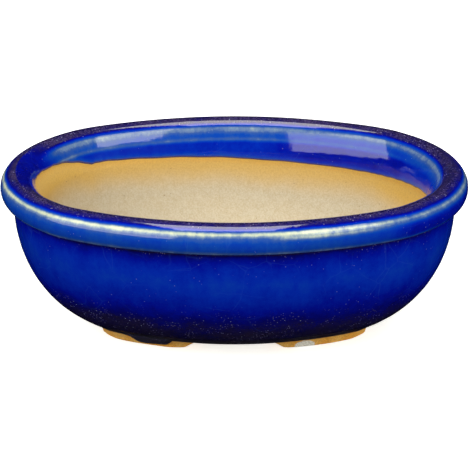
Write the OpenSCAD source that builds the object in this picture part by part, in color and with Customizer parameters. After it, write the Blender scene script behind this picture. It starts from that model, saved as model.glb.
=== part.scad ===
// Small oval bonsai pot on four arc-shaped feet, with a rolled lip.
// Every outline is a list of [inset, height] points. The inset is how far a point lies inside the
// oval that the clay of the lip reaches, and each outline is swept around that oval, which is made
// of two end arcs and two side arcs. The centres of an end arc and a side arc are the corners of a
// right triangle with sides of 36, 77 and 85 units, so every arc meets the next exactly.
// The origin is on the table, under the middle of the pot. +X is its length, +Z is up.

/* [Pot] */
// Length over the glazed lip
pot_length = 125; // [115:1:140]
// Width over the glazed lip
pot_width = 90; // [80:1:95]
// Height from the table to the glazed crest of the lip
pot_height = 44.9; // [42:0.1:52]

/* [Lip] */
// Width of the lip's base, from the lip's outermost point to the inside of the wall
lip_width = 9.3; // [9:0.1:10]
// Height of the lip's clay
lip_height = 6.9; // [6.5:0.1:8]
// How far the lip stands out past the wall
lip_overhang = 3.3; // [2.8:0.1:3.8]

/* [Wall and floor] */
// How far the outside curves in from under the lip towards its centre line
outside_reach = 34.5; // [31:0.5:36]
// How late and sharply the outside turns in near the base
outside_turn = 2.3; // [2:0.1:2.8]
// Height at which the outside would turn level, if the base didn't cut it off
level_height = 0.2; // [-1:0.1:1]
// How far the bare inside curves in from the glaze's edge to the flat floor
inside_reach = 19.5; // [18:0.5:20.5]
// How late and sharply the inside turns in near the floor
inside_turn = 2.5; // [2.2:0.1:2.8]
// Thickness of the floor
floor_thickness = 5; // [4:0.5:6]
// Diameter of the drain holes
drain_diameter = 11; // [8:0.5:12]
// Distance between the two drain holes
drain_spacing = 36; // [30:1:38]

/* [Feet] */
// Height of the feet
foot_height = 3.1; // [2.5:0.1:4.5]
// Thickness of a foot, from its outside to the middle of the pot
foot_thickness = 6.5; // [5:0.5:7.5]
// Distance from the middle of the pot to the near end of a foot
foot_start = 11; // [8:0.5:14]
// Angle of the far end of a foot around the end of the oval, from straight along the pot
foot_end_angle = 26; // [20:1:45]

/* [Glaze] */
// Thickness of the glaze coat
glaze_thickness = 0.5; // [0.4:0.05:0.6]
// How far the glaze reaches down inside, below the crest of the lip
glaze_depth = 10.5; // [8:0.5:14]
// Gap between the table and the end of the run of glaze on one foot
run_gap = 0.6; // [0.5:0.1:1]
// Distance from the middle of the pot to the near side of the run
run_start = 15.5; // [13:0.5:18]
// Distance from the middle of the pot to the far side of the run
run_end = 29; // [24:0.5:30]

/* [Hidden] */
$fn = 96;
// How far cutting shapes reach past what they cut
clear = 1;
// Length of the blocks that part the arcs, in units of the triangle
reach_units = 4;

half_width = pot_width / 2 - glaze_thickness;
unit = round((pot_length - pot_width) / 56 * 200) / 200;
end_centre = 36 * unit;
side_centre = 77 * unit;
end_radius = half_width - 8 * unit;
side_radius = end_radius + 85 * unit;

lip_top = pot_height - glaze_thickness;
lip_base = lip_top - lip_height;
floor_top = foot_height + floor_thickness;
outside_depth = lip_base - level_height;
glaze_edge = [lip_width + 0.65, pot_height - glaze_depth];
inside_depth = glaze_edge[1] - floor_top;
floor_inset = glaze_edge[0] + inside_reach;

clay_colour = [0.83, 0.66, 0.40];
inside_colour = [0.85, 0.78, 0.64];
glaze_colour = [0.02, 0.05, 0.48];

// Points after the first on an arc between two points, bowed by rise to the left of the way along.
function bow(from, to, rise, steps) =
    let (chord = norm(to - from),
         along = (to - from) / chord,
         left = [-along[1], along[0]],
         radius = (chord * chord / 4 + rise * rise) / (2 * rise),
         centre = (from + to) / 2 - left * (radius - rise),
         half = asin(chord / 2 / radius))
    [for (i = [1:steps])
        let (turn = half * (2 * i / steps - 1))
        centre + radius * (left * cos(turn) + along * sin(turn))];

// Angle at which a superellipse of this depth has dropped by a given height.
function turn_at(drop, depth, power) = asin(pow(drop / depth, power / 2));

// Points on a superellipse that starts straight down from start and turns inwards.
function side_curve(start, reach, depth, power, from_turn, to_turn, steps) =
    [for (i = [0:steps])
        let (turn = from_turn + (to_turn - from_turn) * i / steps)
        start + [reach * (1 - cos(turn)), -depth * pow(sin(turn), 2 / power)]];

// An outline moved to its left by a distance, with both its ends cut level.
function coat(line, distance) =
    let (last = len(line) - 1)
    [for (i = [0:last])
        let (arriving = line[max(i, 1)] - line[max(i, 1) - 1],
             leaving = line[min(i + 1, last)] - line[min(i, last - 1)],
             sum = arriving / norm(arriving) + leaving / norm(leaving),
             along = sum / norm(sum))
        line[i] + distance * (i == 0 || i == last ? [-1 / along[1], 0] : [-along[1], along[0]])];

function reversed(line) = [for (i = [len(line) - 1:-1:0]) line[i]];

function without_first(line) = [for (i = [1:len(line) - 1]) line[i]];

// Clay outlines, in order from the base up the outside, over the lip and down the inside.
outside_line = side_curve([lip_overhang, lip_base], outside_reach, outside_depth, outside_turn,
                          turn_at(lip_base - foot_height, outside_depth, outside_turn), 0, 12);
band_bottom = [1.1, lip_base + 0.4];
shoulder = [0.95, lip_top - 1.55];
crest = [3.8, lip_top];
inner_shoulder = [7, lip_top - 2];
lip_foot = [lip_width, lip_base];
lip_line = concat([band_bottom],
                  bow(band_bottom, shoulder, 0.95, 6),
                  bow(shoulder, crest, 0.4, 4),
                  bow(crest, inner_shoulder, 0.5, 4),
                  bow(inner_shoulder, lip_foot, 0.2, 3));
glazed_inside = concat([lip_foot], bow(lip_foot, glaze_edge, 0.08, 2));
bare_inside = side_curve(glaze_edge, inside_reach, inside_depth, inside_turn, 0, 90, 10);

// Rounded to a micrometre, so that pieces that touch have the very same corners.
function to_micrometre(length) = round(length * 1000) / 1000;

// The outline turned about the centre of an arc of this radius. An inset past the centre ends there.
module ring(outline, radius) {
    rotate_extrude()
        polygon([for (p = outline) [max(0, radius - to_micrometre(p[0])), to_micrometre(p[1])]]);
}

// A tall block over a region of the plan.
module over(region) {
    translate([0, 0, -clear]) linear_extrude(pot_height + 2 * clear) polygon(region);
}

// A closed outline carried around the oval: two ends and two sides, which meet face to face.
module oval_sweep(outline) {
    far_corner = [end_centre + 36 * reach_units, 77 * reach_units];
    for (half_turn = [0, 180]) rotate(half_turn) {
        intersection() {
            translate([end_centre, 0]) ring(outline, end_radius);
            over([[end_centre, 0], [far_corner[0], -far_corner[1]], far_corner]);
        }
        intersection() {
            translate([0, -side_centre]) ring(outline, side_radius);
            over([[-end_centre, 0], [end_centre, 0], far_corner, [-far_corner[0], far_corner[1]]]);
        }
    }
}

// Plan region over the front right foot: from its near end, across the pot, to a ray at its far end.
module foot_region() {
    ray = pot_length * [cos(foot_end_angle), -sin(foot_end_angle)];
    over([[foot_start, 0], [foot_start, -pot_length], [end_centre + ray[0], -pot_length],
          [end_centre + ray[0], ray[1]], [end_centre, 0]]);
}

foot_inset = outside_line[0][0];

module foot() {
    color(clay_colour)
        intersection() {
            oval_sweep([[foot_inset, 0], [foot_inset + foot_thickness, 0],
                        [foot_inset + foot_thickness, foot_height], [foot_inset, foot_height]]);
            foot_region();
        }
}

module wall() {
    color(inside_colour)
        oval_sweep(concat(outside_line, glazed_inside, without_first(bare_inside),
                          [[floor_inset, foot_height]]));
}

module lip() {
    color(inside_colour) oval_sweep(concat([[lip_overhang, lip_base]], lip_line));
}

module floor_plate() {
    color(inside_colour)
        difference() {
            oval_sweep([[floor_inset, foot_height], [floor_inset, floor_top],
                        [side_radius, floor_top], [side_radius, foot_height]]);
            for (side = [-1, 1])
                translate([side * drain_spacing / 2, 0, foot_height - clear])
                    cylinder(d = drain_diameter, h = floor_thickness + 2 * clear);
        }
}

// The coat of glaze, with the run that has crept down over the front left foot.
module glaze_coat() {
    clay_line = concat(outside_line, lip_line, without_first(glazed_inside));
    color(glaze_colour) {
        oval_sweep(concat(coat(clay_line, glaze_thickness), reversed(clay_line)));
        intersection() {
            oval_sweep([[foot_inset - glaze_thickness, run_gap], [foot_inset, run_gap],
                        [foot_inset, foot_height], [foot_inset - glaze_thickness, foot_height]]);
            translate([-run_end, -pot_width / 2, 0])
                cube([run_end - run_start, pot_width / 2, pot_height]);
        }
    }
}

wall();
floor_plate();  // floor
lip();
mirror([1, 0, 0]) foot();  // foot_front_left
foot();  // foot_front_right
rotate(180) foot();  // foot_back_left
mirror([0, 1, 0]) foot();  // foot_back_right
glaze_coat();
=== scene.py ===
import math

import bmesh
import bpy
import numpy as np
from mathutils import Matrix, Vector


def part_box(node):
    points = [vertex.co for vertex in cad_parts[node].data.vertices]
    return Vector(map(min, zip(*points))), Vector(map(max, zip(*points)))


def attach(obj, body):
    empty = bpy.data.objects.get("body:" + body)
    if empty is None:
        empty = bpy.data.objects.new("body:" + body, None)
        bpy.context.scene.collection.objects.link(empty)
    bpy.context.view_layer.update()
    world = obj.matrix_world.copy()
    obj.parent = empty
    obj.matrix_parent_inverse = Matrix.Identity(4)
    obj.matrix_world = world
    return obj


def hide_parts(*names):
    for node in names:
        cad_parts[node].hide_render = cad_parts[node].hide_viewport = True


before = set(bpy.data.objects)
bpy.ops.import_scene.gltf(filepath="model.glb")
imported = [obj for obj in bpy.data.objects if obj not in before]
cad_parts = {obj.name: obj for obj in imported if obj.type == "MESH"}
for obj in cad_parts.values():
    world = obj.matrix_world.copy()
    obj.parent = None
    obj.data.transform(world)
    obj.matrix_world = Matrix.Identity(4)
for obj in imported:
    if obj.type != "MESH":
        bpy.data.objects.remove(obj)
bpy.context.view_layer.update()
mm = 0.001
print("read the frame")

# The clay's outlines are points of inset from the oval and height, all in metres.

def bow(start, end, rise, steps=40):
    # Arc from start to end whose middle rises by rise to the left of the chord.
    start, end = np.array(start), np.array(end)
    chord = np.hypot(*(end - start))
    along = (end - start) / chord
    left = np.array([-along[1], along[0]])
    radius = (chord ** 2 / 4 + rise ** 2) / (2 * rise)
    turn = np.linspace(-1, 1, steps) * np.arcsin(chord / 2 / radius)
    centre = (start + end) / 2 - left * (radius - rise)
    return centre + radius * (np.outer(np.cos(turn), left) + np.outer(np.sin(turn), along))


def sideCurve(start, reach, depth, power, turn):
    # Superellipse: in by reach times 1 - cos(turn), down by depth times sin(turn) to the 2 / power.
    return np.stack([start[0] + reach * (1 - np.cos(turn)),
                     start[1] - depth * np.sin(turn) ** (2 / power)], 1)


def lengthAlong(points):
    # Distance from the first point to each point, along the line.
    return np.concatenate([[0], np.cumsum(np.hypot(*np.diff(points, axis=0).T))])


def pointAt(line, distance):
    # Points of the line at these distances from its start, in a straight line between its points.
    along = lengthAlong(line)
    return np.stack([np.interp(distance, along, line[:, k]) for k in (0, 1)], -1)


def softened(line, radius, spacing):
    # The line blurred along its length by a bell curve of this radius, with its ends held in place.
    count = int(lengthAlong(line)[-1] / spacing) + 1
    even = pointAt(line, np.linspace(0, lengthAlong(line)[-1], count))
    reach = int(3 * radius / spacing)
    before = 2 * even[0] - even[reach:0:-1]
    after = 2 * even[-1] - even[-2:-reach - 2:-1]
    bell = np.exp(-0.5 * (np.arange(-reach, reach + 1) * spacing / radius) ** 2)
    padded = np.concatenate([before, even, after])
    return np.stack([np.convolve(padded[:, k], bell / bell.sum(), "valid") for k in (0, 1)], 1)


def leftOf(line):
    # Unit vector to the left of the way along the line, at each of its points.
    along = np.gradient(line, axis=0)
    along /= np.hypot(along[:, 0], along[:, 1])[:, None]
    return np.stack([-along[:, 1], along[:, 0]], 1)


lipLow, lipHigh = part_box("lip")
wallLow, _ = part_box("wall")
floorLow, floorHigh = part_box("floor")
_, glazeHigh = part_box("glaze_coat")
footHeight = wallLow.z
lipBase, lipTop = lipLow.z, lipHigh.z
glazeThickness = glazeHigh.x - lipHigh.x
floorInset = lipHigh.x - floorHigh.x

clay = {
    "overhang": 3.3 * mm,         # lip past the wall
    "lipWidth": 9.3 * mm,         # lip's base, outermost point to the inside
    "outsideReach": 34.5 * mm,
    "outsideTurn": 2.3,
    "levelHeight": 0.2 * mm,      # where the outside would turn level
    "insideTurn": 2.5,
    "insideStart": (9.95 * mm, 34.4 * mm),
    "softness": 0.3 * mm,         # how round the corners are
}

outsideDepth = lipBase - clay["levelHeight"]
baseTurn = math.asin(((lipBase - footHeight) / outsideDepth) ** (clay["outsideTurn"] / 2))
outside = sideCurve((clay["overhang"], lipBase), clay["outsideReach"], outsideDepth,
                    clay["outsideTurn"], np.linspace(baseTurn, 0, 200))
baseInset = outside[0, 0]
bandBottom = (1.1 * mm, lipBase + 0.4 * mm)
shoulder = (0.95 * mm, lipTop - 1.55 * mm)
crest = (3.8 * mm, lipTop)
innerShoulder = (7 * mm, lipTop - 2 * mm)
lipFoot = (clay["lipWidth"], lipBase)
insideStart = clay["insideStart"]
insideReach = floorInset - insideStart[0]
inside = sideCurve(insideStart, insideReach, insideStart[1] - floorHigh.z, clay["insideTurn"],
                   np.linspace(0, math.pi / 2, 200))
footFace = np.stack([np.full(20, baseInset), np.linspace(0.2 * mm, footHeight, 20)], 1)
stretches = [footFace, outside, np.array([outside[-1], bandBottom]), bow(bandBottom, shoulder, 0.95 * mm),
             bow(shoulder, crest, 0.4 * mm), bow(crest, innerShoulder, 0.5 * mm),
             bow(innerShoulder, lipFoot, 0.2 * mm), bow(lipFoot, insideStart, 0.08 * mm), inside]
ends = np.cumsum([lengthAlong(s)[-1] for s in stretches])
baseAt, grooveAt, bandAt, breakAt, crestAt, innerBreakAt, lipFootAt, insideAt, floorAt = ends
rawLine = np.concatenate([stretches[0]] + [s[1:] for s in stretches[1:]])
clayLine = softened(rawLine, clay["softness"], 0.1 * mm)
clayAlong = np.linspace(0, floorAt, len(clayLine))   # distance of each point, before softening
clayLeft = leftOf(clayLine)


def clayPoint(along, out):
    # Point of the clay outline at this distance, moved out of the clay by out.
    inset, height = (np.interp(along, clayAlong, clayLine[:, k]) for k in (0, 1))
    sideways, upwards = (np.interp(along, clayAlong, clayLeft[:, k]) for k in (0, 1))
    return inset + sideways * out, height + upwards * out


halfLength, halfWidth = lipHigh.x, lipHigh.y
unit = (halfLength - halfWidth) / 28           # the arcs' centres are corners of a 36, 77, 85 triangle
plan = {
    "endCentre": 36 * unit,
    "sideCentre": 77 * unit,
    "endRadius": halfWidth - 8 * unit,
    "sideRadius": halfWidth + 77 * unit,
    "blend": math.radians(24),                 # angle over which an end passes into a side
}


def planPoint(angle, inset):
    # Point of the oval where its outward direction has this angle, moved in by inset.
    # Each arc's distance to its tangent is its radius plus its centre's part of that direction;
    # a smooth step of the angle passes from the end's to the side's, and its slope gives the point.
    cosine, sine = np.cos(angle), np.sin(angle)
    folded = np.arctan2(np.abs(sine), np.abs(cosine))
    change = math.atan2(77, 36)
    share = np.clip((folded - change) / plan["blend"] / 2 + 0.5, 0, 1)
    step = share ** 3 * (10 - 15 * share + 6 * share ** 2)
    stepSlope = 30 * share ** 2 * (1 - share) ** 2 / plan["blend"] / 2
    end = plan["endRadius"] + plan["endCentre"] * np.cos(folded)
    side = plan["sideRadius"] - plan["sideCentre"] * np.sin(folded)
    endSlope = -plan["endCentre"] * np.sin(folded)
    sideSlope = -plan["sideCentre"] * np.cos(folded)
    reach = end + step * (side - end) - inset
    slope = endSlope + step * (sideSlope - endSlope) + stepSlope * (side - end)
    x = reach * np.cos(folded) - slope * np.sin(folded)
    y = reach * np.sin(folded) + slope * np.cos(folded)
    return x * np.where(cosine < 0, -1, 1), y * np.where(sine < 0, -1, 1)


def evenAngles(count):
    # Angles whose points lie at even distances around the oval.
    fine = np.linspace(0, 2 * math.pi, 7201)
    x, y = planPoint(fine, 0)
    around = lengthAlong(np.stack([x, y], 1))
    return np.interp(np.arange(count) / count * around[-1], around, fine)


def waves(angle, seed, counts, size):
    # A sum of whole waves around the oval with seeded heights and starts, size at most.
    random = np.random.default_rng(seed)
    heights = random.uniform(0.4, 1, len(counts))
    starts = random.uniform(0, 2 * math.pi, len(counts))
    parts = heights[:, None] * np.sin(np.outer(counts, angle.ravel()) + starts[:, None])
    return (size * parts.sum(0) / heights.sum()).reshape(angle.shape)


def smoothStep(low, high, value):
    # 0 below low and 1 above high, with 3 share squared - 2 share cubed between them.
    share = np.clip((value - low) / (high - low), 0, 1)
    return share * share * (3 - 2 * share)


def gridFaces(rows, columns, closeRows, closeColumns):
    # Quads between neighbours of a grid of points, joined round where it is closed.
    i, j = np.meshgrid(np.arange(rows if closeRows else rows - 1),
                       np.arange(columns if closeColumns else columns - 1), indexing="ij")
    i, j = i.ravel(), j.ravel()
    nextI, nextJ = (i + 1) % rows, (j + 1) % columns
    return np.stack([i * columns + j, nextI * columns + j, nextI * columns + nextJ, i * columns + nextJ], 1)


def solid(name, points, faces, values=None, merge=False, sharpAngle=40):
    # A closed mesh whose faces point out: they are turned over if the volume they enclose is negative.
    a, b, c, d = (points[faces[:, k]] for k in range(4))
    volume = np.einsum("ij,ij->i", a, np.cross(b, c)).sum() + np.einsum("ij,ij->i", a, np.cross(c, d)).sum()
    if volume < 0:
        faces = faces[:, ::-1]
    mesh = bpy.data.meshes.new(name)
    mesh.from_pydata(points.tolist(), [], faces.tolist())
    for key, value in (values or {}).items():
        layer = mesh.attributes.new(key, "FLOAT", "POINT")
        layer.data.foreach_set("value", np.ravel(value).astype(np.float32))
    if merge:
        shape = bmesh.new()
        shape.from_mesh(mesh)
        bmesh.ops.remove_doubles(shape, verts=shape.verts, dist=1e-7)
        shape.to_mesh(mesh)
        shape.free()
    mesh.validate()
    mesh.polygons.foreach_set("use_smooth", np.ones(len(mesh.polygons), bool))
    mesh.set_sharp_from_angle(angle=math.radians(sharpAngle))
    piece = bpy.data.objects.new(name, mesh)
    bpy.context.scene.collection.objects.link(piece)
    return piece


def keep(piece, node, material):
    # The piece rides with the pot, stands for its CAD node and takes the slot's finish.
    piece.data.materials.append(material)
    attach(piece, "root")
    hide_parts(node)
    print("made", piece.name, len(piece.data.polygons), "faces")
    return piece


class Wire:
    # One output socket of a material's nodes. Maths on it adds Math nodes.
    def __init__(self, graph, socket):
        self.graph, self.socket = graph, socket

    def maths(self, operation, first, second):
        return self.graph.node("Math", {"operation": operation}, {0: first, 1: second})

    def __add__(self, other):
        return self.maths("ADD", self, other)

    def __radd__(self, other):
        return self.maths("ADD", other, self)

    def __sub__(self, other):
        return self.maths("SUBTRACT", self, other)

    def __rsub__(self, other):
        return self.maths("SUBTRACT", other, self)

    def __mul__(self, other):
        return self.maths("MULTIPLY", self, other)

    def __rmul__(self, other):
        return self.maths("MULTIPLY", other, self)

    def __truediv__(self, other):
        return self.maths("DIVIDE", self, other)

    def least(self, other):
        return self.maths("MINIMUM", self, other)

    def most(self, other):
        return self.maths("MAXIMUM", self, other)

    def step(self, low, high):
        # Smooth step from 0 at low to 1 at high; low may be the greater.
        return self.graph.node("MapRange", {"interpolation_type": "SMOOTHSTEP"},
                               {"Value": self, "From Min": low, "From Max": high})


class Graph:
    # The nodes of a material or of the surroundings, which alone have no place on a surface.
    def __init__(self, owner):
        owner.use_nodes = True
        self.owner = owner
        self.tree = owner.node_tree
        self.tree.nodes.clear()
        onSurface = isinstance(owner, bpy.types.Material)
        self.place = self.node("TexCoord", out="Object") if onSurface else None

    def node(self, kind, settings=None, sockets=None, out=0):
        made = self.tree.nodes.new("ShaderNode" + kind)
        for key, value in (settings or {}).items():
            if key == "stops":
                ramp = made.color_ramp
                while len(ramp.elements) < len(value):
                    ramp.elements.new(1)
                for element, (position, colour) in zip(ramp.elements, value):
                    element.position, element.color = position, colour
            else:
                setattr(made, key, value)
        for key, value in (sockets or {}).items():
            if isinstance(value, Wire):
                self.tree.links.new(value.socket, made.inputs[key])
            else:
                made.inputs[key].default_value = value
        return None if out is None else Wire(self, made.outputs[out])

    def attribute(self, name):
        return self.node("Attribute", {"attribute_name": name}, out="Fac")

    def noise(self, size, detail=3, roughness=0.55, place=None):
        # Cloudy noise whose patches are about size across, from 0 to 1.
        return self.node("TexNoise", None, {"Vector": place or self.place, "Scale": 1 / size,
                                            "Detail": detail, "Roughness": roughness}, "Fac")

    def stretched(self, x, y, z):
        # The place with each axis scaled, so that a pattern on it is drawn out.
        return self.node("Mapping", None, {"Vector": self.place, "Scale": (x, y, z)})

    def dots(self, spacing, size, core):
        # Small round dots scattered at about this spacing, 1 in their cores. Sizes are shares of the
        # spacing.
        near = self.node("TexVoronoi", {"feature": "F1"},
                         {"Vector": self.place, "Scale": 1 / spacing}, "Distance")
        return near.step(size, core)

    def mix(self, share, first, second):
        return self.node("Mix", {"data_type": "RGBA"}, {0: share, 6: first, 7: second}, 2)

    def bent(self, amount):
        # The place, shifted about by cloudy noise, so that cells on it aren't regular.
        shift = self.node("TexNoise", None,
                          {"Vector": self.place, "Scale": 1 / (amount * 3), "Detail": 2}, "Color")
        shift = self.node("VectorMath", {"operation": "SUBTRACT"}, {0: shift, 1: (0.5, 0.5, 0.5)})
        shift = self.node("VectorMath", {"operation": "SCALE"}, {0: shift, "Scale": amount})
        return self.node("VectorMath", {"operation": "ADD"}, {0: self.place, 1: shift})

    def ramp(self, value, stops):
        return self.node("ValToRGB", {"stops": stops}, {"Fac": value}, "Color")

    def finish(self, colour, roughness, bump, bumpDepth, **constants):
        # The surface: colours and roughness from the graph, and the bump's height in metres.
        normal = self.node("Bump", None, {"Height": bump, "Strength": 1.0, "Distance": bumpDepth}, "Normal")
        sockets = {"Base Color": colour, "Roughness": roughness, "Normal": normal}
        sockets.update({key.replace("_", " "): value for key, value in constants.items()})
        surface = self.node("BsdfPrincipled", None, sockets, "BSDF")
        self.node("OutputMaterial", None, {"Surface": surface}, out=None)
        return self.owner


def rgb(red, green, blue):
    # A colour from the 0 to 255 values that a screen shows, made linear.
    shown = np.array([red, green, blue]) / 255
    linear = np.where(shown <= 0.04045, shown / 12.92, ((shown + 0.055) / 1.055) ** 2.4)
    return (*linear.tolist(), 1.0)


# The glaze is a coat on the outside, over the lip and a little way down the inside.
glaze = {
    "thickness": glazeThickness,
    "softness": 0.35 * mm,           # how round the coat is over the clay's corners
    "grip": 0.06 * mm,               # how far it goes into the clay, so that no gap shows
    "bead": 0.7 * mm,                # width of the rounded edge
    "frontRows": 186,
    "backRows": 34,
    "columns": 440,
    "edgeHeight": 37.05 * mm,        # inner edge, all round
    "edgeWaves": [(3.09, 1, 149), (1.14, 2, 22)],   # millimetres, waves around, degrees
    "edgeSag": (1.1 * mm, 128, 6),   # drop, degrees around, spread
    "runFrom": (-31 * mm, -24.5 * mm),   # along X, over the front left foot: its slow and its sudden side
    "runTo": (-18.4 * mm, -15.0 * mm),
    "runDrop": 2.5 * mm,
    "runRise": 0.3 * mm,             # how much shorter it is at its sudden side
    "roll": 0.5,                     # how much thicker it is where it has gathered above the feet
    "rollAt": 2.4 * mm,              # how far above its lower edge, and how wide
    "rollWidth": 1.2 * mm,
    "hang": 0.75,                    # how nearly straight the run hangs
    "hangFrom": 4.2 * mm,            # how far above its lower edge it leaves the wall
    "drawn": 6 * mm,                 # height of glaze that the run draws down
    "unevenness": 0.05 * mm,
    "lean": 0.8 * mm,                # how much further in the lip's inside is at the left end
    "leanDepth": 12 * mm,            # how far below the lip that goes back to nothing
    "rowSpacing": 0.62,              # rows of faces on flat stretches, and how many more on corners
    "cornerRows": 3.2,
}


def coatLine():
    # The clay's line moved out by the glaze's thickness. Points nearer the clay than that are left out,
    # which cuts the loops in its hollows, and what stays is evened out and blurred.
    count = len(clayLine)
    even = pointAt(rawLine, np.linspace(0, floorAt, count))
    moved = even + leftOf(even) * glaze["thickness"]
    nearest = np.sqrt(((moved[:, None] - even[None]) ** 2).sum(-1)).min(1)
    clear = nearest > glaze["thickness"] * 0.995
    filled = np.stack([np.interp(clayAlong, clayAlong[clear], moved[clear, k]) for k in (0, 1)], 1)
    reach = int(3 * glaze["softness"] / 0.1 / mm)
    bell = np.exp(-0.5 * (np.arange(-reach, reach + 1) * 0.1 * mm / glaze["softness"]) ** 2)
    padded = np.pad(filled, ((reach, reach), (0, 0)), "edge")
    return np.stack([np.convolve(padded[:, k], bell / bell.sum(), "valid") for k in (0, 1)], 1)


def innerEdge(angle):
    # Height of the glaze's inner edge: whole waves around, a sag at the back left, and fine waves.
    height = glaze["edgeHeight"] + sum(size * mm * np.cos(count * angle + math.radians(start))
                                       for size, count, start in glaze["edgeWaves"])
    drop, centre, spread = glaze["edgeSag"]
    height -= drop * np.exp(-0.5 * ((np.degrees(angle) - centre) / spread) ** 2)
    return height + waves(angle, 11, np.arange(9, 60, 5), 0.22 * mm)


def innerEdgeAlong(angle):
    # The same edge as a distance along the clay outline.
    down = clayAlong > crestAt
    return np.interp(-innerEdge(angle), -clayLine[down, 1], clayAlong[down])


def leanIn(along, angle):
    # The inside of the lip stands further in at the left end: most at the inner edge of the lip, and
    # back to nothing at the crest and some way below.
    left = smoothStep(0.75, 0.98, -np.cos(angle))
    rise = smoothStep(crestAt, innerBreakAt, along)
    rise = rise * (1 - smoothStep(lipFootAt, lipFootAt + glaze["leanDepth"], along))
    return glaze["lean"] * left * rise


def runDrop(angle):
    # How far the glaze has run down over the front left foot: a slow slope on one side, a sudden one on
    # the other, and slightly ragged.
    x, y = planPoint(angle, baseInset)
    x = x + waves(angle, 5, np.arange(40, 160, 17), 0.4 * mm)
    drop = smoothStep(*glaze["runFrom"], x) * (1 - smoothStep(*glaze["runTo"], x))
    drop *= glaze["runDrop"] - glaze["runRise"] * smoothStep(glaze["runFrom"][1], glaze["runTo"][0], x)
    return np.where(y < 0, drop, 0)


def glazeDepthAndPaintedLight(along, angle, edge):
    # How deep the colour is, 0 to 1: thin on the edges of the lip; deep in the groove under the lip as
    # painted shade, and near the base partly from thicker glaze and partly as painted shade; it also carries
    # a painted highlight along the front right.
    body = grooveAt - baseAt
    # Near the base the depth is partly thicker glaze and partly painted shade; the dark stops at the groove
    # are painted shade under the lip's overhang.
    stations = np.array([
        (baseAt, 1.0), (baseAt + 0.14 * body, 0.99), (baseAt + 0.3 * body, 0.955),
        (baseAt + 0.46 * body, 0.86),
        (baseAt + 0.62 * body, 0.7), (baseAt + 0.78 * body, 0.6), (baseAt + 0.88 * body, 0.66),
        (grooveAt - 1.6 * mm, 0.78), (grooveAt - 0.4 * mm, 0.97), (grooveAt + 0.8 * mm, 0.95),
        (bandAt - 0.5 * mm, 0.6), (bandAt - 0.1 * mm, 0.3), (bandAt + 0.6 * mm, 0.28),
        (bandAt + 1.4 * mm, 0.5),
        (breakAt - 2.2 * mm, 0.5), (breakAt - 1.1 * mm, 0.36), (breakAt - 0.45 * mm, 0.18), (breakAt, 0.03),
        (breakAt + 0.45 * mm, 0.2), (breakAt + 0.9 * mm, 0.62), (breakAt + 1.5 * mm, 0.85),
        (crestAt - 0.6 * mm, 0.93), (crestAt + 0.8 * mm, 0.96), (innerBreakAt - 1.7 * mm, 0.9),
        (innerBreakAt - 0.9 * mm, 0.58), (innerBreakAt - 0.2 * mm, 0.22), (innerBreakAt + 0.6 * mm, 0.25),
        (innerBreakAt + 1.6 * mm, 0.42), (innerBreakAt + 2.6 * mm, 0.5), (innerBreakAt + 4 * mm, 0.66)])
    depth = np.interp(along, stations[:, 0], stations[:, 1])
    depth += (0.45 - depth) * (1 - smoothStep(0, 2.2 * mm, edge)) * (along > crestAt)
    # A second pale line lies below the inner edge of the lip along the back.
    back = smoothStep(-0.1, 0.5, np.sin(angle) - 0.5 * np.cos(angle))
    depth -= 0.24 * back * np.exp(-((along - innerBreakAt - 3.1 * mm) / 0.55 / mm) ** 2)
    # On the right the lip's band is deeper and the line on the outer edge fainter.
    right = smoothStep(0.25, 0.6, np.cos(angle))
    onBand = smoothStep(bandAt, bandAt + mm, along)
    onBand = onBand * (1 - smoothStep(breakAt - 1.6 * mm, breakAt - 0.7 * mm, along))
    depth += 0.24 * right * onBand
    depth += 0.13 * smoothStep(0.2, 0.55, np.cos(angle)) * np.exp(-((along - breakAt) / mm) ** 2)
    # Under that line a painted highlight, a paler stripe standing in for the reflection of the front right
    # lamp, thins out along the front right.
    x = planPoint(angle, 0)[0]
    paintedHighlight = smoothStep(8 * mm, 16 * mm, x) * (1 - smoothStep(30 * mm, 42 * mm, x)) * (np.sin(angle) < 0)
    depth -= 0.2 * paintedHighlight * np.exp(-((along - breakAt + 1.15 * mm) / 0.45 / mm) ** 2)
    # The back of the inside is deeper on the right.
    backRight = smoothStep(0.1, 0.25, np.cos(angle)) * (np.sin(angle) > 0)
    backRight = backRight * smoothStep(innerBreakAt, innerBreakAt + 1.5 * mm, along)
    depth += 0.09 * backRight * (1 - smoothStep(0.75, 0.9, np.cos(angle)))
    # At the left end the crest rolls straight over to the edge and stays dark.
    left = smoothStep(0.8, 1, -np.cos(angle)) * (along > crestAt)
    return depth + (0.8 - depth) * left


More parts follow.
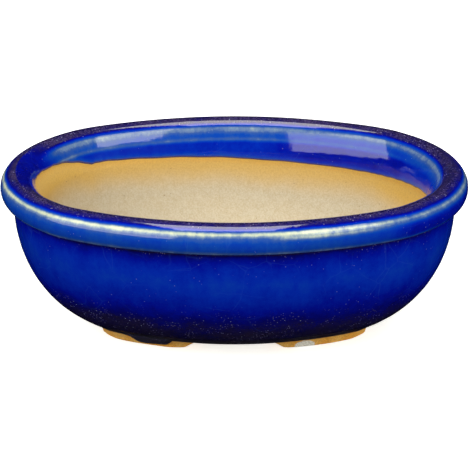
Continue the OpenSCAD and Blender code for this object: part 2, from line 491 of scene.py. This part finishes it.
def glazeRing():
    # A closed outline around the oval: the front is the clay's line moved out by the glaze's thickness,
    # rounded to nothing at both edges, and the back runs just inside the clay.
    angle = evenAngles(glaze["columns"])
    line = coatLine()
    turn = np.abs(np.gradient(np.unwrap(np.arctan2(*np.gradient(line, axis=0).T))))
    lastAt = insideAt + 1 * mm
    crowd = 1 / glaze["rowSpacing"] + np.clip(turn / 0.1, 0, 1.2) * glaze["cornerRows"]
    crowd = np.cumsum(crowd * (clayAlong >= baseAt) * (clayAlong <= lastAt))
    nominal = np.interp(np.linspace(0, crowd[-1], glaze["frontRows"]), crowd, clayAlong)
    nominal[0], nominal[-1] = baseAt, lastAt
    startAlong = baseAt - runDrop(angle)
    endAlong = innerEdgeAlong(angle)

    def stretched(places):
        # The lowest part is drawn down to where the glaze starts, and what is past the crest to its edge.
        places = places[:, None]
        low = np.clip((baseAt + glaze["drawn"] - places) / glaze["drawn"], 0, 1)
        high = np.clip((places - crestAt) / (lastAt - crestAt), 0, 1)
        return places + low * (startAlong - baseAt) + high * (endAlong - lastAt)

    along = stretched(nominal)
    edge = endAlong - along
    nearEnd = np.minimum(along - startAlong, edge)
    full = np.sqrt(1 - (1 - np.clip(nearEnd / glaze["bead"], 0, 1)) ** 2)
    wide = np.broadcast_to(angle, along.shape)
    rippled = 0.5 + waves(wide + along * 60, 3, np.arange(3, 30, 4), 0.5)
    full = full * (1 - glaze["unevenness"] / glaze["thickness"] * rippled)
    rolled = np.exp(-((along - baseAt - glaze["rollAt"]) / glaze["rollWidth"]) ** 2)
    full = full * (1 + glaze["roll"] * rolled)
    clayInset, clayHeight = clayPoint(along, -glaze["grip"])
    coatInset, coatHeight = (np.interp(along, clayAlong, line[:, k]) for k in (0, 1))
    # Where it has run, it hangs from the body to the foot in a nearly straight slope.
    hung = glaze["hang"] * np.clip((baseAt - startAlong) / glaze["runDrop"], 0, 1) ** 0.7
    topAlong = baseAt + glaze["hangFrom"]
    (topInset, lowInset), (topHeight, lowHeight) = (
        (np.interp(topAlong, clayAlong, line[:, k]), np.interp(startAlong, clayAlong, line[:, k]))
        for k in (0, 1))
    up = np.clip((along - startAlong) / (topAlong - startAlong), 0, 1)
    hung = hung * (up < 1)
    coatInset = coatInset + hung * (lowInset + (topInset - lowInset) * up - coatInset)
    coatHeight = coatHeight + hung * (lowHeight + (topHeight - lowHeight) * up - coatHeight)
    inset = clayInset + (coatInset - clayInset) * full
    height = clayHeight + (coatHeight - clayHeight) * full
    backRows = np.linspace(len(nominal) - 1, 0, glaze["backRows"] + 2).astype(int)[1:-1]
    backAlong = stretched(nominal[backRows])
    backInset, backHeight = clayPoint(backAlong, -glaze["grip"])
    inset, height = np.concatenate([inset, backInset]), np.concatenate([height, backHeight])
    allAlong = np.concatenate([along, backAlong])
    allEdge = np.concatenate([edge, endAlong - backAlong])
    depth = glazeDepthAndPaintedLight(allAlong, angle, allEdge)
    x, y = planPoint(np.broadcast_to(angle, inset.shape), inset + leanIn(allAlong, angle))
    points = np.stack([x, y, height], -1).reshape(-1, 3)
    values = {"depth": depth, "edge": allEdge / mm, "along": allAlong / mm}
    return solid("glazeCoat", points, gridFaces(*inset.shape, True, True), values, sharpAngle=80)


def glazeFinish():
    # Colour by depth with cloudy, mottled and streaked noise added, then a veil, glints, crackle, specks
    # and a dark rim at the edge.
    graph = Graph(bpy.data.materials.new("blueGlaze"))
    depth = graph.attribute("depth")
    edge = graph.attribute("edge")
    along = graph.attribute("along")
    cloudy = graph.noise(9 * mm, 3) - 0.5
    mottled = graph.noise(1.6 * mm, 4, 0.62) - 0.5
    bubbly = graph.noise(0.5 * mm, 2) - 0.5
    streaked = graph.noise(2.4 * mm, 3, 0.6, graph.stretched(1, 1, 0.16)) - 0.5
    thin = depth.step(0.75, 0.2)
    shade = depth + cloudy * 0.2 + mottled * (0.1 + thin * 0.1) + bubbly * 0.07
    shade = shade + streaked * (0.08 + thin * 0.16)
    colour = graph.ramp(shade, glazeColours)
    deep = depth.step(0.82, 0.94)
    grains = graph.noise(0.5 * mm, 3, 0.8)
    veil = deep * (0.06 + grains.step(0.42, 0.68) * 0.75 + cloudy * 0.9) * (0.8 + along.step(46, 48) * 0.2)
    veilColour = graph.mix(along.step(46, 48), rgb(52, 42, 78), rgb(76, 64, 112))
    colour = graph.mix(veil.least(1).most(0), colour, veilColour)
    glints = graph.dots(0.75 * mm, 0.3, 0.12) * graph.noise(4 * mm, 3).step(0.48, 0.6) * depth.step(0.7, 0.9)
    colour = graph.mix(glints * 0.6, colour, rgb(134, 128, 176))
    crackle = graph.node("TexVoronoi", {"feature": "DISTANCE_TO_EDGE"},
                         {"Vector": graph.bent(3 * mm), "Scale": 1 / (9 * mm)}, "Distance")
    lines = crackle.step(0.02, 0.0) * graph.noise(12 * mm, 2).step(0.45, 0.6)
    colour = graph.mix(lines * 0.05, colour, rgb(80, 130, 205))
    specks = graph.dots(1.5 * mm, 0.12, 0.05) * graph.noise(9 * mm, 3).step(0.44, 0.58)
    specks = specks * (0.3 + depth.step(0.7, 0.9) * 0.7)
    colour = graph.mix(specks * 0.7, colour, rgb(176, 186, 224))
    rim = edge.step(0.75, 0.25) * along.step(50, 51)
    colour = graph.mix(rim * 0.75, colour, rgb(70, 48, 70))
    nearFeet = along.step(baseAt / mm + 11, baseAt / mm + 4)
    roughness = 0.07 + specks * 0.3 + grains.step(0.5, 0.9) * 0.05 + nearFeet * 0.75
    bump = graph.noise(7 * mm, 2) + graph.noise(1.6 * mm, 2) * 0.12 - specks * 0.25
    return graph.finish(colour, roughness, bump, 0.08 * mm, IOR=1.52)


glazeColours = [
    (0.0, rgb(206, 210, 182)), (0.1, rgb(170, 184, 172)), (0.2, rgb(104, 128, 162)),
    (0.32, rgb(50, 84, 152)), (0.46, rgb(14, 66, 166)), (0.62, rgb(3, 40, 170)),
    (0.74, rgb(2, 16, 152)), (0.84, rgb(6, 8, 110)), (0.93, rgb(16, 14, 66)), (1.0, rgb(22, 18, 42))]
keep(glazeRing(), "glaze_coat", glazeFinish())


bare = {
    "columns": 360,
    "ochre": rgb(206, 168, 84),
    "deepOchre": rgb(208, 160, 66),
    "cream": rgb(187, 177, 154),
    "pale": rgb(194, 186, 166),
    "speck": rgb(110, 82, 52),
}


def belowGlaze(along, angle):
    # Distance down the inside from the glaze's edge, in millimetres; far away on every other side.
    distance = (along - innerEdgeAlong(angle)) / mm
    return np.where(along > crestAt, distance, 40)


def clayFinish(name, ochreness):
    graph = Graph(bpy.data.materials.new(name))
    below = graph.attribute("below")
    ends = graph.attribute("ends")
    patches = graph.noise(10 * mm, 3) - 0.5
    grain = graph.noise(0.45 * mm, 3, 0.7)
    coarse = graph.noise(1.8 * mm, 4, 0.65)
    fade = (below + patches * 4 - ends * 2.5).step(10.5, 1.5)
    warm = (fade * 0.9 + ends * 0.26 + patches * 0.2 + ochreness).least(1).most(0)
    colour = graph.mix(coarse.step(0.3, 0.7), bare["cream"], bare["pale"])
    colour = graph.mix(warm, colour, bare["ochre"])
    colour = graph.mix((below + patches * 1.5).step(2.2, 0.2) * 0.6, colour, bare["deepOchre"])
    colour = graph.mix(grain.step(0.6, 0.38) * 0.2, colour, rgb(150, 116, 72))
    specks = graph.dots(1.9 * mm, 0.12, 0.05) * graph.noise(4 * mm, 2).step(0.44, 0.6)
    colour = graph.mix(specks * 0.6, colour, bare["speck"])
    bump = grain * 0.5 + coarse + specks * -0.6
    return graph.finish(colour, 0.86 - coarse * 0.1, bump, 0.1 * mm)


drain = {
    "radius": 5.5 * mm,
    "place": 18 * mm,                # X of the middle of a hole
    "softness": 0.7 * mm,
    "ovalSteps": 120,                # columns of faces that end on the oval, and on the middle line
    "lineSteps": 40,
    "rings": 29,
    "grip": 0.3 * mm,                # how far the top reaches into the wall
}


def floorPlate():
    # Half of the floor: rings from a drain hole's rim out to the oval and the middle line, on top and
    # below, with a softened rim. The other half is its mirror image, and the two are merged.
    radius, place, soft = drain["radius"], drain["place"], drain["softness"]
    fine = np.linspace(-math.pi / 2, math.pi / 2, 2001)

    def reachTo(inset, directions):
        x, y = planPoint(fine, inset)
        heading = np.unwrap(np.arctan2(y, x - place))
        distance = np.hypot(x - place, y)
        ovalReach = np.interp(directions, heading, distance)
        with np.errstate(divide="ignore"):
            lineReach = np.where(np.cos(directions) < 0, -place / np.cos(directions), np.inf)
        return np.minimum(ovalReach, lineReach)

    x, y = planPoint(fine, floorInset)
    corner = math.atan2(y[-1], x[-1] - place)
    directions = np.concatenate([
        np.linspace(-corner, corner, drain["ovalSteps"] + 1)[:-1],
        np.linspace(corner, 2 * math.pi - corner, drain["lineSteps"] + 1)[:-1]])
    onOval = np.arange(len(directions)) < drain["ovalSteps"]
    folded = np.where(directions > math.pi, directions - 2 * math.pi, directions)
    grip = np.where(onOval & (np.arange(len(directions)) > 0), drain["grip"], 0)
    bottomReach = reachTo(floorInset, folded)
    topReach = bottomReach + grip
    top, bottom = floorHigh.z, floorLow.z
    turn = np.linspace(0, math.pi / 2, 8)
    rimOut = soft * (1 - np.sin(turn))
    rimDown = soft * (1 - np.cos(turn))
    share = np.linspace(1, 0, drain["rings"] + 1)[:-1, None] ** 1.4
    bore = np.linspace(top - soft, bottom + soft, 8)[1:-1]
    topFace = radius + soft + (topReach - radius - soft) * share
    bottomFace = radius + soft + (bottomReach - radius - soft) * share[::-1]
    rim = radius + np.concatenate([rimOut, bore * 0, rimOut[::-1]])
    rim = np.broadcast_to(rim[:, None], (len(rim), len(directions)))
    rimHeight = np.concatenate([top - rimDown, bore, bottom + rimDown[::-1]])
    reach = np.concatenate([topFace, rim, bottomFace])
    height = np.concatenate([np.full(len(share), top), rimHeight, np.full(len(share), bottom)])
    height = np.broadcast_to(height[:, None], reach.shape)
    x = place + reach * np.cos(directions)
    y = reach * np.sin(directions)
    half = np.stack([x, y, height], -1).reshape(-1, 3)
    faces = gridFaces(*reach.shape, True, True)
    lastRow = faces[:, 0] // reach.shape[1] == len(reach) - 1
    faces = faces[~lastRow | (faces[:, 0] % reach.shape[1] < drain["ovalSteps"])]
    points = np.concatenate([half, half * (-1, 1, 1)])
    faces = np.concatenate([faces, faces[:, ::-1] + len(half)])
    values = {"below": np.full(len(points), 40.0), "ends": np.zeros(len(points))}
    return solid("floorClay", points, faces, values, merge=True)


def lineStretch(fromAlong, toAlong, steps):
    # Part of the clay's outline as rows of inset, height and distance along it.
    along = np.linspace(fromAlong, toAlong, steps)
    return np.stack([*clayPoint(along, 0), along], 1)


def straightStretch(start, end, steps):
    # A straight run of the profile between two points, both left out, with no place on the outline.
    share = np.linspace(0, 1, steps + 2)[1:-1, None]
    return np.concatenate([np.array(start) * (1 - share) + np.array(end) * share, np.zeros((steps, 1))], 1)


def clayRing(name, profile):
    # A closed profile of inset, height and distance along the outline, carried around the oval.
    angle = evenAngles(bare["columns"])
    below = belowGlaze(profile[:, 2, None], angle)
    inset = profile[:, 0, None] + leanIn(profile[:, 2, None], angle)
    x, y = planPoint(np.broadcast_to(angle, inset.shape), inset)
    points = np.stack([x, y, np.broadcast_to(profile[:, 1, None], below.shape)], -1).reshape(-1, 3)
    values = {"below": below, "ends": np.broadcast_to(np.abs(np.cos(angle)) ** 3, below.shape)}
    return solid(name, points, gridFaces(*inset.shape, True, True), values)


outerFoot, innerFoot = (clay["overhang"], lipBase), (clay["lipWidth"], lipBase)
floorTop, floorUnder = (floorInset, floorHigh.z), (floorInset, footHeight)
lipProfile = np.concatenate([
    lineStretch(grooveAt, lipFootAt, 150), straightStretch(innerFoot, outerFoot, 8)])
wallProfile = np.concatenate([
    lineStretch(baseAt, grooveAt, 70), straightStretch(outerFoot, innerFoot, 8),
    lineStretch(lipFootAt, floorAt, 110), straightStretch(floorTop, floorUnder, 6),
    straightStretch(floorUnder, (baseInset, footHeight), 10)])
insideClay = clayFinish("bareClay", 0.0)
keep(clayRing("lipClay", lipProfile), "lip", insideClay)
keep(clayRing("wallClay", wallProfile), "wall", insideClay)
keep(floorPlate(), "floor", insideClay)


feet = {
    "nearEnd": (13.6 * mm, 8.8 * mm),   # X where each foot starts, on the table and under the wall
    "farAngle": (31, 20),            # degrees around the pot's end where it stops, likewise
    "depth": 6.5 * mm,
    "squareness": 7,                 # how square the corners are in plan
    "taper": 0.04,                   # how much thinner it is where it stands
    "softness": 0.5 * mm,
    "grip": 0.3 * mm,                # how far it goes up into the wall
    "chip": (0.0196, -0.0206, 0.0002),   # knocked edge of the front right foot
}


def footBlock(name, sideX, sideY, seed):
    # An arc-shaped block: a rounded oblong in plan, its long way laid along the oval and its short way
    # across it, drawn in towards its bottom and rounded there.
    around = np.linspace(0, 2 * math.pi, 145)[:-1]
    power = 2 / feet["squareness"]
    longWay = np.sign(np.cos(around)) * np.abs(np.cos(around)) ** power
    across = np.sign(np.sin(around)) * np.abs(np.sin(around)) ** power
    turn = np.linspace(0, math.pi / 2, 9)
    soft = feet["softness"]
    inset = np.concatenate([np.zeros(12), soft * (1 - np.sin(turn)), np.zeros(10), np.zeros(6)])
    share = np.concatenate([np.linspace(0, 1, 13)[:-1], np.ones(19), np.linspace(1, 0, 7)[1:]])
    height = np.concatenate([np.zeros(12), soft * (1 - np.cos(turn)), np.linspace(soft, footHeight, 11)[1:],
                             np.full(6, footHeight + feet["grip"])])
    inset[:12] = soft
    narrowing = feet["taper"] * (1 - height / footHeight).clip(0, 1)
    halfDepth = feet["depth"] / 2
    q = (across * (share * (1 - narrowing))[:, None]) * (1 - inset / halfDepth)[:, None]
    offset = baseInset + halfDepth + q * halfDepth
    radius = plan["sideRadius"] - offset
    rise = (height / footHeight).clip(0, 1)[:, None] ** 1.3
    nearEnd, farAngle = (feet[k][0] + (feet[k][1] - feet[k][0]) * rise for k in ("nearEnd", "farAngle"))
    near = np.arccos(nearEnd / radius)
    far = np.radians(farAngle)
    halfLong = 10 * mm
    p = longWay * share[:, None] * (1 - inset / halfLong)[:, None]
    angle = (near + far) / 2 + (near - far) / 2 * p
    wobble = waves(around, seed, np.arange(2, 12), 0.25 * mm)
    offset = offset + wobble * share[:, None] * smoothStep(footHeight, 0, height)[:, None]
    x, y = planPoint(angle, offset)
    z = np.broadcast_to(height[:, None], x.shape)
    points = np.stack([x * sideX, y * sideY, z], -1).reshape(-1, 3)
    if sideX > 0 > sideY:
        towards = (points - feet["chip"]) / np.array([2.6, 2, 1.3]) / mm
        struck = np.exp(-(towards ** 2).sum(1))
        points += struck[:, None] * np.array([0, 0.7, 0.5]) * mm
    values = {"below": np.full(len(points), 40.0), "ends": np.ones(len(points))}
    return solid(name, points, gridFaces(*x.shape, False, True), values, merge=True)


def footFinish():
    # Two ochres in patches, darker towards the wall, pale where it is chipped, with dark grain.
    graph = Graph(bpy.data.materials.new("footClay"))
    height = graph.node("SeparateXYZ", None, {"Vector": graph.place}, "Z")
    patches = graph.noise(5 * mm, 4, 0.6)
    grain = graph.noise(0.4 * mm, 3, 0.7)
    colour = graph.mix(patches.step(0.35, 0.68), rgb(244, 170, 60), rgb(250, 196, 100))
    edge = (height / mm + (patches - 0.5) * 1.6).step(1.9, 3.0)
    colour = graph.mix(edge * 0.8, colour, rgb(120, 72, 34))
    x, y, z = feet["chip"]
    away = graph.node("VectorMath", {"operation": "DISTANCE"},
                      {0: graph.stretched(1, 1, 1.7), 1: (x, y, z * 1.7)}, "Value")
    chipped = (away / mm + (graph.noise(1.6 * mm, 4) - 0.5) * 1.6).step(4.4, 4.0)
    colour = graph.mix(chipped, colour, rgb(252, 250, 236))
    colour = graph.mix(grain.step(0.62, 0.4) * 0.3, colour, rgb(120, 82, 40))
    return graph.finish(colour, 0.82 + grain * 0.1, grain + patches, 0.16 * mm)


footClay = footFinish()
for seed, (sideY, front) in enumerate([(-1, "front"), (1, "back")]):
    for sideX, side in [(-1, "left"), (1, "right")]:
        block = footBlock("foot" + front.title() + side.title(), sideX, sideY, 20 + seed * 2 + (sideX > 0))
        keep(block, "foot_" + front + "_" + side, footClay)


studio = {
    "tableSize": 3.0,
    "tableColour": rgb(244, 244, 242),
    "tableGlow": 0.75,
    "tableHeight": -0.02 * mm,       # just under the feet
    "fill": 0.33,
    "backdrop": 1.0,
    "cameraPlace": (0.00018, -0.46184, 0.21658),
    "lookingAt": (0.00018, 0, 0.025),
    "lens": 141.6,
    "lightColour": (1, 0.965, 0.87),
    # Place, where it faces, width, height, brightness in watts, and whether it is mirrored or lights
    # matt surfaces.
    "panels": {
        "overheadShine": ((-0.02, 0.0, 0.62), (0, 0, 0.03), 0.42, 0.26, 2.4, True),
        "frontLeftShine": ((-0.43, -0.34, 0.40), (0, 0, 0.40), 0.64, 0.46, 3.4, True),
        "frontRightShine": ((0.36, -0.385, 0.54), (0, 0, 0.03), 0.28, 0.31, 1.3, True),
        "overheadLight": ((-0.07, 0.0, 0.62), (0, 0, 0.03), 0.31, 0.26, 1.7, False),
        "frontLeftLight": ((-0.42, -0.35, 0.41), (0, 0, 0.03), 0.40, 0.34, 3.2, False),
        "frontRightLight": ((0.36, -0.385, 0.35), (0, 0, 0.03), 0.44, 0.58, 3.1, False)},
}


def table():
    # A glowing white plane just under the feet, which reflections and matt surfaces don't see.
    shape = bmesh.new()
    bmesh.ops.create_grid(shape, x_segments=1, y_segments=1, size=studio["tableSize"])
    mesh = bpy.data.meshes.new("table")
    shape.to_mesh(mesh)
    shape.free()
    plane = bpy.data.objects.new("table", mesh)
    bpy.context.scene.collection.objects.link(plane)
    graph = Graph(bpy.data.materials.new("tableWhite"))
    cloud = graph.noise(0.4, 2) * 0.02
    colour = graph.mix(cloud, studio["tableColour"], rgb(235, 235, 232))
    finish = graph.finish(colour, 0.9 + cloud, cloud, 0.1 * mm, Emission_Color=studio["tableColour"],
                          Emission_Strength=studio["tableGlow"])
    mesh.materials.append(finish)
    plane.location.z = studio["tableHeight"]
    plane.visible_glossy = False
    plane.visible_diffuse = False


def panel(name, place, facing, width, height, watts, mirrored):
    # A flat lamp turned from its place to what it faces.
    data = bpy.data.lights.new(name, "AREA")
    data.shape = "RECTANGLE"
    data.size, data.size_y, data.energy, data.color = width, height, watts, studio["lightColour"]
    light = bpy.data.objects.new(name, data)
    light.location = place
    light.rotation_euler = (Vector(facing) - Vector(place)).to_track_quat("-Z", "Y").to_euler()
    light.visible_camera = False
    light.visible_glossy = mirrored
    light.visible_diffuse = not mirrored
    bpy.context.scene.collection.objects.link(light)


def surroundings():
    # White to the camera, a soft even fill for matt surfaces and dark in reflections.
    world = bpy.data.worlds.new("studio")
    graph = Graph(world)
    matt = graph.node("LightPath", out="Is Diffuse Ray")
    seen = graph.node("LightPath", out="Is Camera Ray")
    white = (1, 1, 1, 1)
    fill = graph.node("Background", None, {"Color": white, "Strength": matt * studio["fill"]}, "Background")
    shown = graph.node("Background", None, {"Color": white, "Strength": studio["backdrop"]}, "Background")
    chosen = graph.node("MixShader", None, {0: seen, 1: fill, 2: shown}, "Shader")
    graph.node("OutputWorld", None, {"Surface": chosen}, out=None)
    bpy.context.scene.world = world


def camera():
    # Turned from its place to what it looks at.
    data = bpy.data.cameras.new("camera")
    data.lens, data.sensor_width = studio["lens"], 36
    data.clip_start, data.clip_end = 0.01, 20
    made = bpy.data.objects.new("camera", data)
    made.location = studio["cameraPlace"]
    made.rotation_euler = (Vector(studio["lookingAt"]) - made.location).to_track_quat("-Z", "Y").to_euler()
    bpy.context.scene.collection.objects.link(made)
    bpy.context.scene.camera = made


table()
for name, settings in studio["panels"].items():
    panel(name, *settings)
surroundings()
camera()
bpy.context.scene.view_settings.view_transform = "Standard"
print("made the table, the lights and the camera")
